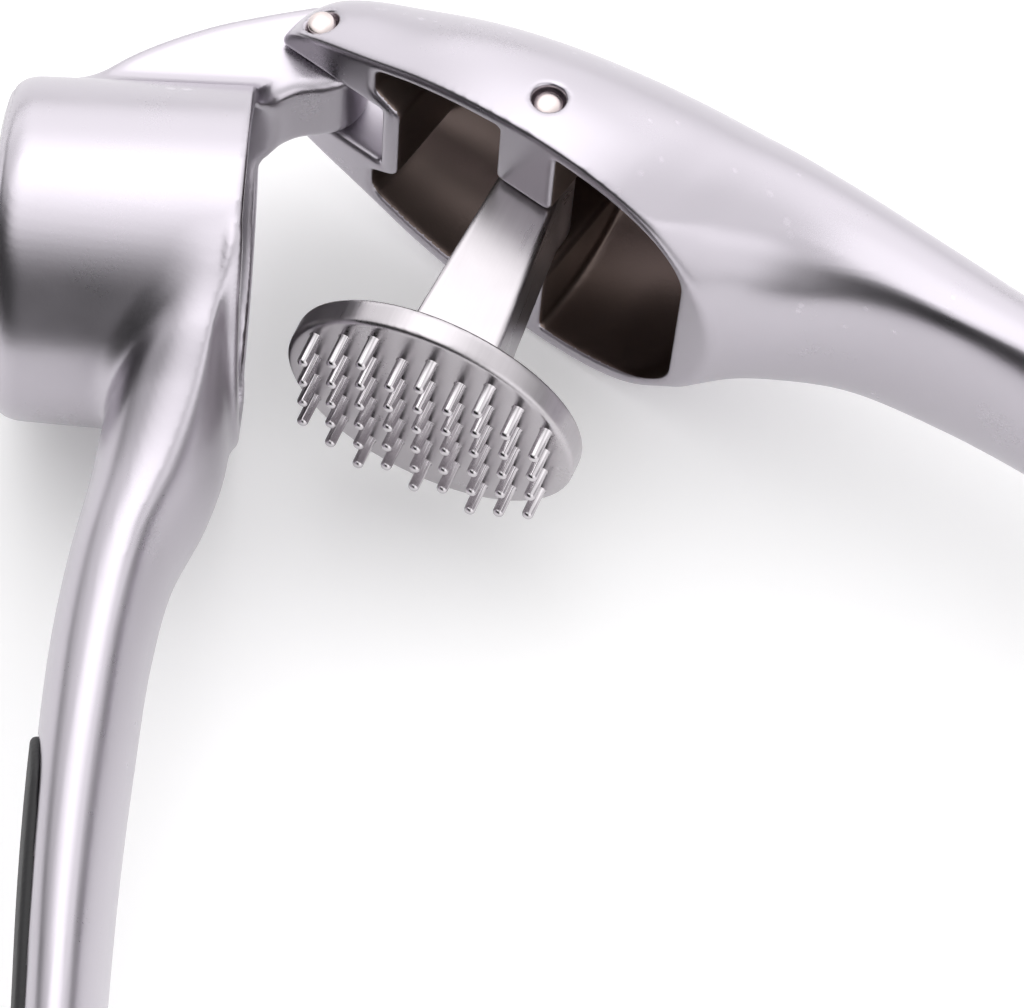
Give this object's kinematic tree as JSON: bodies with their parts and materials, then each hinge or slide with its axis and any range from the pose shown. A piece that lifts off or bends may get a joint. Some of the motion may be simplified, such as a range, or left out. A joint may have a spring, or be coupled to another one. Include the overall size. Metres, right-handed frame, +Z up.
{
  "type": "garlic press",
  "caption": "Half-open garlic press with a perforated cup, a hinged hood handle and a swinging plunger disc with cleaning pins.",
  "frame": {"origin": "centre of the cup's flat base, on the strainer side", "axes": "+X along the cup's axis and out of its mouth, +Z up along both hinge pins, +Y from the cup towards the main hinge"},
  "size_m": [0.1749, 0.1789, 0.0414],
  "materials": {
    "cast_metal": "satin die-cast zinc, pearl plated",
    "stainless": "stamped stainless sheet",
    "soft_grip": "matt soft-touch rubber",
    "rivet_steel": "dull steel, domed ends",
    "plunger_metal": "satin die-cast zinc",
    "pin_chrome": "polished"
  },
  "bodies": {
    "cup_side": {"lower_handle": "cast_metal", "strainer": "stainless", "lower_grip_pad": "soft_grip"},
    "hood_side": {"upper_handle": "cast_metal", "upper_grip_pad": "soft_grip", "main_rivet": "rivet_steel", "plunger_rivet": "rivet_steel"},
    "plunger_side": {"plunger": "plunger_metal", "cleaning_pins": "pin_chrome"}
  },
  "joints": [
    {"name": "handle_hinge", "type": "hinge", "parent": "cup_side", "child": "hood_side", "pos_m": [0.0316, 0.0237, 0], "axis": [0, 0, 1], "range_deg": [-8, 90]},
    {"name": "plunger_swing", "type": "hinge", "parent": "hood_side", "child": "plunger_side", "pos_m": [0.05555, 0.01101, 0], "axis": [0, 0, 1], "range_deg": [-45, 25]}
  ]
}
